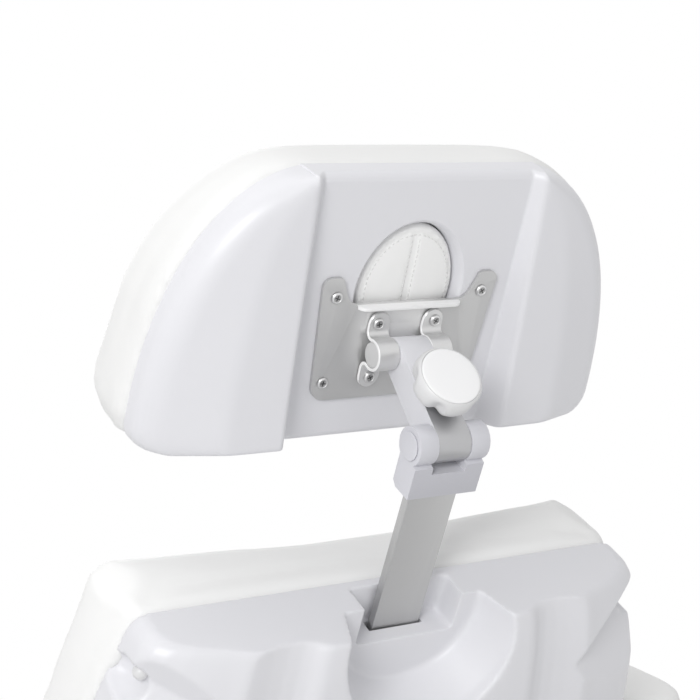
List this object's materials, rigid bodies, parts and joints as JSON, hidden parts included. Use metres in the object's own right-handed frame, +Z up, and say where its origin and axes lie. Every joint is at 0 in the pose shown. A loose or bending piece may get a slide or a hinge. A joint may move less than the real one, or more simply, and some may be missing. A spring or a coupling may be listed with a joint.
{
  "type": "pedicure chair",
  "caption": "Electric pedicure chair with a lifting column, reclining backrest, swing-up armrests, split sliding leg rests and a tilting headrest on a height bar.",
  "frame": {"origin": "on the floor under the middle of the base plate", "axes": "+Z up, the sitter faces -Y, +X to the sitter's left"},
  "size_m": [0.8038, 1.3284, 1.4179],
  "materials": {
    "white_vinyl": "white coated upholstery over foam",
    "shell_abs": "pale grey formed sheet, satin gloss",
    "white_abs": "white moulded plastic",
    "black_plastic": "black moulded plastic",
    "satin_steel": "satin zinc",
    "dark_steel": "blackened",
    "base_steel": "grey powder coat",
    "grey_steel": "grey powder coat",
    "grey_aluminium": "grey powder coat",
    "satin_casting": "satin",
    "pale_casting": "pale grey paint",
    "plywood": "bare plywood"
  },
  "bodies": {
    "base": {"base_plate": "base_steel", "base_cover": "white_abs", "mains_inlet": "black_plastic", "column_outer": "grey_aluminium", "lift_motor": "black_plastic"},
    "column_mid": {"column_middle": "grey_aluminium"},
    "column_top": {"column_inner": "grey_aluminium", "lift_spindle": "satin_steel", "swivel_bearing": "satin_steel"},
    "seat": {"seat_frame": "grey_aluminium", "recline_axle": "satin_steel", "leg_hinge_shaft": "satin_steel", "seat_pan": "shell_abs", "seat_board": "plywood", "seat_cushion": "white_vinyl", "recline_motor": "black_plastic", "armrest_post_left": "grey_steel", "armrest_post_right": "grey_steel"},
    "drive": {"drive_rod": "satin_steel"},
    "backrest": {"backrest_frame": "grey_aluminium", "backrest_panel": "plywood", "backrest_shell": "shell_abs", "backrest_cushion": "white_vinyl", "bar_guide": "black_plastic", "roll_peg_left": "white_abs", "roll_peg_right": "white_abs"},
    "bar": {"height_bar": "satin_steel", "bar_stop": "dark_steel", "clevis": "pale_casting", "lower_hinge_pin": "pale_casting"},
    "neck": {"neck_link": "satin_casting"},
    "knob": {"knob_body": "white_abs", "knob_cap": "white_abs", "knob_stud": "satin_steel"},
    "headrest": {"headrest_shell": "shell_abs", "headrest_board": "plywood", "headrest_cushion": "white_vinyl", "mounting_plate": "satin_steel", "hinge_strap_left": "satin_steel", "hinge_strap_right": "satin_steel", "upper_hinge_pin": "satin_steel", "plate_ear_screw_left": "dark_steel", "plate_ear_screw_right": "dark_steel", "plate_low_screw_left": "dark_steel", "plate_low_screw_right": "dark_steel", "strap_top_screw_left": "dark_steel", "strap_top_screw_right": "dark_steel", "strap_low_screw_left": "dark_steel", "strap_low_screw_right": "dark_steel"},
    "plug": {"face_plug": "white_vinyl"},
    "arm_left": {"armrest_shell_left": "shell_abs", "armrest_pad_left": "white_vinyl"},
    "arm_right": {"armrest_shell_right": "shell_abs", "armrest_pad_right": "white_vinyl"},
    "leg_left": {"leg_arm_left": "grey_steel"},
    "leg_right": {"leg_arm_right": "grey_steel"},
    "foot_left": {"leg_shell_left": "shell_abs", "leg_pad_left": "white_vinyl"},
    "foot_right": {"leg_shell_right": "shell_abs", "leg_pad_right": "white_vinyl"}
  },
  "joints": [
    {"name": "lift", "type": "slide", "parent": "base", "child": "column_top", "axis": [0, 0, 1], "range_m": [0, 0.25]},
    {"name": "sleeve", "type": "slide", "parent": "base", "child": "column_mid", "axis": [0, 0, 1], "range_m": [0, 0.125]},
    {"name": "swivel", "type": "hinge", "parent": "column_top", "child": "seat", "pos_m": [0, 0, 0.46], "axis": [0, 0, 1], "range_deg": [-120, 120]},
    {"name": "recline", "type": "hinge", "parent": "seat", "child": "backrest", "pos_m": [0, 0.2589, 0.5656], "axis": [1, 0, 0], "range_deg": [-57, 14]},
    {"name": "drive_stroke", "type": "slide", "parent": "seat", "child": "drive", "axis": [0, 1, 0], "range_m": [-0.061, 0.016]},
    {"name": "bar_slide", "type": "slide", "parent": "backrest", "child": "bar", "axis": [0, 0.4168, 0.909], "range_m": [-0.02, 0.09]},
    {"name": "neck_lower", "type": "hinge", "parent": "bar", "child": "neck", "pos_m": [0, 0.56367, 1.19197], "axis": [1, 0, 0], "range_deg": [-35, 10]},
    {"name": "neck_upper", "type": "hinge", "parent": "neck", "child": "headrest", "pos_m": [0, 0.51112, 1.25595], "axis": [1, 0, 0], "range_deg": [-30, 20]},
    {"name": "knob_turn", "type": "hinge", "parent": "neck", "child": "knob", "pos_m": [0, 0.5412, 1.21933], "axis": [0, 0.7727, 0.6347], "range_deg": [0, 270]},
    {"name": "plug_pull", "type": "slide", "parent": "headrest", "child": "plug", "axis": [0, -0.9325, 0.3611], "range_m": [0, 0.12]},
    {"name": "arm_left_fold", "type": "hinge", "parent": "seat", "child": "arm_left", "pos_m": [0.3525, 0.228, 0.831], "axis": [1, 0, 0], "range_deg": [-85, 0]},
    {"name": "arm_right_fold", "type": "hinge", "parent": "seat", "child": "arm_right", "pos_m": [-0.3525, 0.228, 0.831], "axis": [1, 0, 0], "range_deg": [-85, 0]},
    {"name": "leg_left_tilt", "type": "hinge", "parent": "seat", "child": "leg_left", "pos_m": [0.137, -0.31, 0.505], "axis": [1, 0, 0], "range_deg": [-35, 20]},
    {"name": "leg_right_tilt", "type": "hinge", "parent": "seat", "child": "leg_right", "pos_m": [-0.137, -0.31, 0.505], "axis": [1, 0, 0], "range_deg": [-35, 20]},
    {"name": "leg_left_slide", "type": "slide", "parent": "leg_left", "child": "foot_left", "axis": [0, -0.8191, -0.5736], "range_m": [0, 0.1]},
    {"name": "leg_right_slide", "type": "slide", "parent": "leg_right", "child": "foot_right", "axis": [0, -0.8191, -0.5736], "range_m": [0, 0.1]}
  ],
  "couplings": [
    {"joint": "sleeve", "follows": "lift", "ratio": 0.5},
    {"joint": "drive_stroke", "follows": "recline", "m_per_rad": 0.05811}
  ]
}
